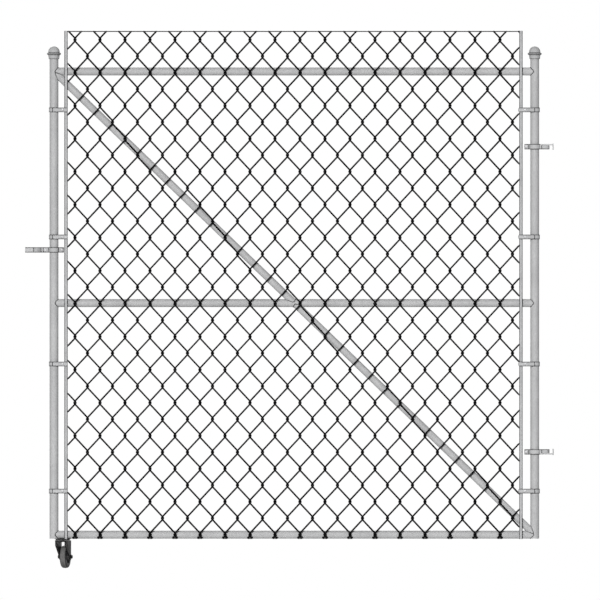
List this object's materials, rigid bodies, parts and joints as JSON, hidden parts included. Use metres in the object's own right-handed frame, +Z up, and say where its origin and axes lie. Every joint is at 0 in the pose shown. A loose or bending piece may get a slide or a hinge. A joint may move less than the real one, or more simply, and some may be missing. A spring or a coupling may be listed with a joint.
{
  "type": "single swing chain link gate leaf",
  "caption": "Chain link swing gate leaf on pintle brackets: tube frame with diagonal braces, wire mesh held by tension bars, fork latch and swivel caster.",
  "frame": {"origin": "centre of the lower pintle bracket's back, where it is bolted to a flat post or plate, level with the lower hinge", "axes": "+X out of the bracket's back, towards the post; +Y behind the leaf; +Z up"},
  "size_m": [2.5359, 0.1542, 2.577],
  "materials": {
    "galvanized_tube": "galvanized steel tube, satin, faint spangle",
    "galvanized_fitting": "galvanized pressed steel, satin",
    "cast_cap": "cast, satin",
    "coated_wire": "black polymer coated steel wire, semi-gloss",
    "zinc_hardware": "zinc plated",
    "black_caster": "black powder coat",
    "wheel_centre": "painted casting, black",
    "wheel_rubber": "dark grey solid rubber"
  },
  "bodies": {
    "brackets": {"lower_pintle": "galvanized_fitting", "upper_pintle": "galvanized_fitting"},
    "leaf": {"latch_upright": "galvanized_tube", "hinge_upright": "galvanized_tube", "top_rail": "galvanized_tube", "middle_rail": "galvanized_tube", "bottom_rail": "galvanized_tube", "upper_brace": "galvanized_tube", "lower_brace": "galvanized_tube", "latch_upright_cap": "cast_cap", "hinge_upright_cap": "cast_cap", "mesh_upper_latch_side": "coated_wire", "mesh_upper_hinge_side": "coated_wire", "mesh_lower_latch_side": "coated_wire", "mesh_lower_hinge_side": "coated_wire", "top_wire": "coated_wire", "latch_tension_bar": "galvanized_fitting", "hinge_tension_bar": "galvanized_fitting", "latch_tension_band_1": "galvanized_fitting", "hinge_tension_band_1": "galvanized_fitting", "latch_tension_band_2": "galvanized_fitting", "hinge_tension_band_2": "galvanized_fitting", "latch_tension_band_3": "galvanized_fitting", "hinge_tension_band_3": "galvanized_fitting", "latch_tension_band_4": "galvanized_fitting", "hinge_tension_band_4": "galvanized_fitting", "upper_hinge_strap": "galvanized_fitting", "lower_hinge_strap": "galvanized_fitting", "latch_clamp_front": "galvanized_fitting", "latch_clamp_back": "galvanized_fitting", "latch_pivot_bolt": "zinc_hardware", "caster_plate": "black_caster", "caster_kingpin": "black_caster"},
    "latch": {"latch_fork": "galvanized_fitting"},
    "swivel": {"caster_yoke": "black_caster", "caster_axle": "black_caster"},
    "wheel": {"wheel_hub": "wheel_centre", "wheel_tyre": "wheel_rubber"}
  },
  "joints": [
    {"name": "gate_swing", "type": "hinge", "parent": "brackets", "child": "leaf", "pos_m": [-0.04, 0, 0], "axis": [0, 0, 1], "range_deg": [-90, 90]},
    {"name": "latch_lift", "type": "hinge", "parent": "leaf", "child": "latch", "pos_m": [-2.4403, 0, 0.969], "axis": [0, 1, 0], "range_deg": [0, 90]},
    {"name": "caster_turn", "type": "hinge", "parent": "leaf", "child": "swivel", "pos_m": [-2.3551, 0, -0.457], "axis": [0, 0, 1], "continuous": true},
    {"name": "wheel_spin", "type": "hinge", "parent": "swivel", "child": "wheel", "pos_m": [-2.34319, 0.04443, -0.503], "axis": [0.9659, -0.2588, 0], "continuous": true}
  ]
}
